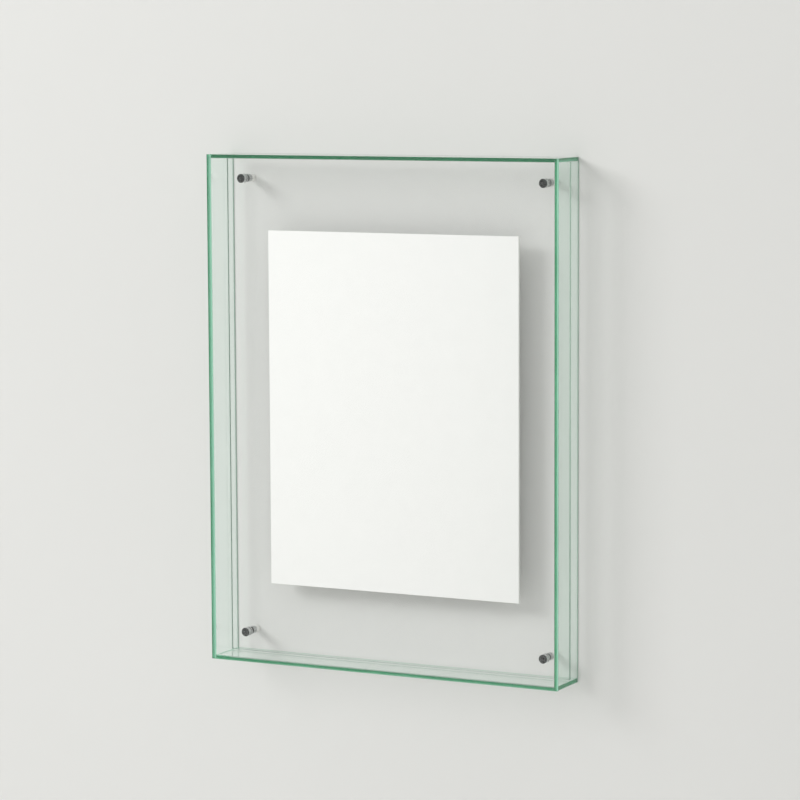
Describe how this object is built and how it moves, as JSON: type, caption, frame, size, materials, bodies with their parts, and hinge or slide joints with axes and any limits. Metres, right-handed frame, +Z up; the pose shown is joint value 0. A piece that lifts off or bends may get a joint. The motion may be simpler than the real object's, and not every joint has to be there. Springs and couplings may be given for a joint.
{
  "type": "acrylic box frame",
  "caption": "Clear acrylic box cover that hangs over a clear backing panel on metal wall standoffs, with a mounted print floating inside.",
  "frame": {"origin": "the wall plane at the middle of the four standoffs", "axes": "+X to the viewer's right, +Y into the wall, +Z up; the front faces -Y"},
  "size_m": [0.3, 0.065, 0.4],
  "materials": {
    "clear_acrylic": "polished",
    "print_paper": "matte",
    "mount_board": "matte",
    "pad_tape": "matte",
    "zinc_steel": "satin",
    "satin_steel": "satin",
    "dark_steel": "satin",
    "pale_nylon": "satin",
    "dark_rubber": "matte",
    "clear_vinyl": "satin"
  },
  "bodies": {
    "backing": {"backing_panel": "clear_acrylic", "mount_board": "mount_board", "print_sheet": "print_paper", "mounting_pad_top_left": "pad_tape", "stud_top_left": "zinc_steel", "foot_top_left": "pale_nylon", "barrel_top_left": "satin_steel", "rear_washer_top_left": "dark_rubber", "mounting_pad_top_right": "pad_tape", "stud_top_right": "zinc_steel", "foot_top_right": "pale_nylon", "barrel_top_right": "satin_steel", "rear_washer_top_right": "dark_rubber", "mounting_pad_bottom_left": "pad_tape", "stud_bottom_left": "zinc_steel", "foot_bottom_left": "pale_nylon", "barrel_bottom_left": "satin_steel", "rear_washer_bottom_left": "dark_rubber", "mounting_pad_bottom_right": "pad_tape", "stud_bottom_right": "zinc_steel", "foot_bottom_right": "pale_nylon", "barrel_bottom_right": "satin_steel", "rear_washer_bottom_right": "dark_rubber"},
    "cover": {"cover_front": "clear_acrylic", "cover_left": "clear_acrylic", "cover_right": "clear_acrylic", "cover_top": "clear_acrylic", "cover_bottom": "clear_acrylic"},
    "washer_top_left": {"front_washer_top_left": "clear_vinyl"},
    "cap_top_left": {"cap_nut_top_left": "dark_steel"},
    "washer_top_right": {"front_washer_top_right": "clear_vinyl"},
    "cap_top_right": {"cap_nut_top_right": "dark_steel"},
    "washer_bottom_left": {"front_washer_bottom_left": "clear_vinyl"},
    "cap_bottom_left": {"cap_nut_bottom_left": "dark_steel"},
    "washer_bottom_right": {"front_washer_bottom_right": "clear_vinyl"},
    "cap_bottom_right": {"cap_nut_bottom_right": "dark_steel"}
  },
  "joints": [
    {"name": "cover_pull", "type": "slide", "parent": "backing", "child": "cover", "axis": [0, -1, 0], "range_m": [0, 0.06]},
    {"name": "cap_travel_top_left", "type": "slide", "parent": "backing", "child": "washer_top_left", "axis": [0, -1, 0], "range_m": [0, 0.004]},
    {"name": "cap_turn_top_left", "type": "hinge", "parent": "washer_top_left", "child": "cap_top_left", "pos_m": [-0.13, 0, 0.1805], "axis": [0, -1, 0], "range_deg": [0, 2880]},
    {"name": "cap_travel_top_right", "type": "slide", "parent": "backing", "child": "washer_top_right", "axis": [0, -1, 0], "range_m": [0, 0.004]},
    {"name": "cap_turn_top_right", "type": "hinge", "parent": "washer_top_right", "child": "cap_top_right", "pos_m": [0.13, 0, 0.1805], "axis": [0, -1, 0], "range_deg": [0, 2880]},
    {"name": "cap_travel_bottom_left", "type": "slide", "parent": "backing", "child": "washer_bottom_left", "axis": [0, -1, 0], "range_m": [0, 0.004]},
    {"name": "cap_turn_bottom_left", "type": "hinge", "parent": "washer_bottom_left", "child": "cap_bottom_left", "pos_m": [-0.13, 0, -0.1805], "axis": [0, -1, 0], "range_deg": [0, 2880]},
    {"name": "cap_travel_bottom_right", "type": "slide", "parent": "backing", "child": "washer_bottom_right", "axis": [0, -1, 0], "range_m": [0, 0.004]},
    {"name": "cap_turn_bottom_right", "type": "hinge", "parent": "washer_bottom_right", "child": "cap_bottom_right", "pos_m": [0.13, 0, -0.1805], "axis": [0, -1, 0], "range_deg": [0, 2880]}
  ],
  "couplings": [
    {"joint": "cap_turn_top_left", "follows": "cap_travel_top_left", "rad_per_m": 12566},
    {"joint": "cap_turn_top_right", "follows": "cap_travel_top_right", "rad_per_m": 12566},
    {"joint": "cap_turn_bottom_left", "follows": "cap_travel_bottom_left", "rad_per_m": 12566},
    {"joint": "cap_turn_bottom_right", "follows": "cap_travel_bottom_right", "rad_per_m": 12566}
  ]
}
